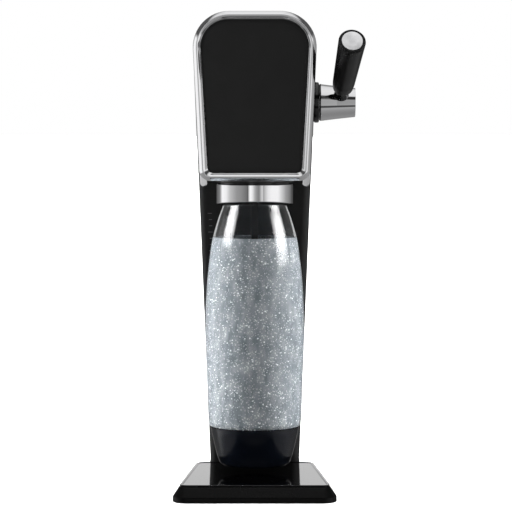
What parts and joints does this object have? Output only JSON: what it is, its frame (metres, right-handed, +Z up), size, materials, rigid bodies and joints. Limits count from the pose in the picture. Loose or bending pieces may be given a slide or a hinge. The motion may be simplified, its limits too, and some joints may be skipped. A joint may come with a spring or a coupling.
{
  "type": "soda carbonator",
  "caption": "counter-top soda carbonator: side lever, tilting bottle holder with clear bottle, gas cylinder behind a tapered tower, drip tray and tilting rear cover",
  "frame": {"origin": "centre of the bounding box, on the counter under the feet", "axes": "+Z up, -Y the front where the panel and bottle face, +X to the right, on the lever side"},
  "size_m": [0.1672, 0.238, 0.428],
  "materials": {
    "aluminium": "satin",
    "black_gloss": "glossy black",
    "black_satin": "satin black",
    "brass": "machined",
    "chrome": "polished",
    "clear": "clear",
    "grey_plastic": "matte",
    "pink_plastic": "satin",
    "rubber": "matte",
    "steel": "plain"
  },
  "bodies": {
    "machine": {"base_housing": "black_gloss", "base_plate": "grey_plastic", "base_screw_1": "steel", "base_screw_2": "steel", "base_screw_3": "steel", "base_screw_4": "steel", "foot_front_left": "rubber", "foot_front_right": "rubber", "foot_rear_left": "rubber", "foot_rear_right": "rubber", "tower_shell": "black_satin", "head_shell": "black_satin", "head_surround": "chrome", "front_bezel": "chrome", "front_panel": "black_satin", "head_floor": "black_satin", "frame_plate_left": "steel", "shaft_bearing_left": "brass", "holder_pin_left": "steel", "frame_plate_right": "steel", "shaft_bearing_right": "brass", "holder_pin_right": "steel", "cross_member": "steel", "valve_bracket": "steel", "lever_bushing": "black_gloss", "holder_spring": "steel", "lever_spring": "steel", "valve_block": "brass", "valve_spring": "steel", "relief_valve": "brass", "gas_hose": "rubber", "co2_cylinder": "aluminium", "cylinder_valve": "brass", "cylinder_adapter": "pink_plastic", "cylinder_cradle": "black_satin", "cylinder_seat": "black_satin"},
    "lever": {"lever_shaft": "steel", "lever_hub": "chrome", "hub_cap": "chrome", "lever_rod": "steel", "grip_ferrule": "black_gloss", "lever_grip": "black_satin", "grip_end_cap": "chrome", "lever_cam": "steel", "shaft_circlip": "steel"},
    "valve_plunger": {"valve_plunger": "steel"},
    "bottle_holder": {"holder_ring": "chrome", "holder_collar": "black_satin", "holder_arm_left": "grey_plastic", "holder_arm_right": "grey_plastic", "nozzle_block": "grey_plastic", "nozzle_seal": "rubber", "carbonation_tube": "grey_plastic"},
    "bottle": {"bottle_body": "clear", "bottle_cup": "black_gloss"},
    "drip_tray": {"drip_tray": "black_gloss"},
    "rear_cover": {"rear_cover": "black_satin"},
    "cover_button": {"cover_button": "black_gloss"},
    "lock_handle": {"lock_handle": "grey_plastic"}
  },
  "joints": [
    {"name": "lever_pull", "type": "hinge", "parent": "machine", "child": "lever", "pos_m": [-0.01206, -0.016, 0.349], "axis": [1, 0, 0], "range_deg": [0, 55], "stiffness_Nm_per_rad": 0.6, "springref_deg": -28.65},
    {"name": "plunger_travel", "type": "slide", "parent": "machine", "child": "valve_plunger", "axis": [0, 1, 0], "range_m": [0, 0.00401], "deforming": ["valve_spring"]},
    {"name": "holder_tilt", "type": "hinge", "parent": "machine", "child": "bottle_holder", "pos_m": [-0.01206, -0.023, 0.3], "axis": [-1, 0, 0], "range_deg": [0, 15], "stiffness_Nm_per_rad": 0.1, "springref_deg": -17.19, "deforming": ["gas_hose"]},
    {"name": "bottle_release", "type": "slide", "parent": "bottle_holder", "child": "bottle", "axis": [0, 0, -1], "range_m": [0, 0.005]},
    {"name": "tray_slide", "type": "slide", "parent": "machine", "child": "drip_tray", "axis": [0, -1, 0], "range_m": [0, 0.13]},
    {"name": "cover_tilt", "type": "hinge", "parent": "machine", "child": "rear_cover", "pos_m": [-0.01206, 0.112, 0.02], "axis": [-1, 0, 0], "range_deg": [0, 32]},
    {"name": "button_press", "type": "slide", "parent": "rear_cover", "child": "cover_button", "axis": [0, -1, 0], "range_m": [0, 0.003], "stiffness_N_per_m": 300, "springref_m": -0.002},
    {"name": "handle_lift", "type": "hinge", "parent": "machine", "child": "lock_handle", "pos_m": [-0.01206, 0.065, 0.318], "axis": [1, 0, 0], "range_deg": [0, 105]}
  ],
  "couplings": [
    {"joint": "plunger_travel", "follows": "lever_pull", "m_per_rad": 0.004167}
  ]
}
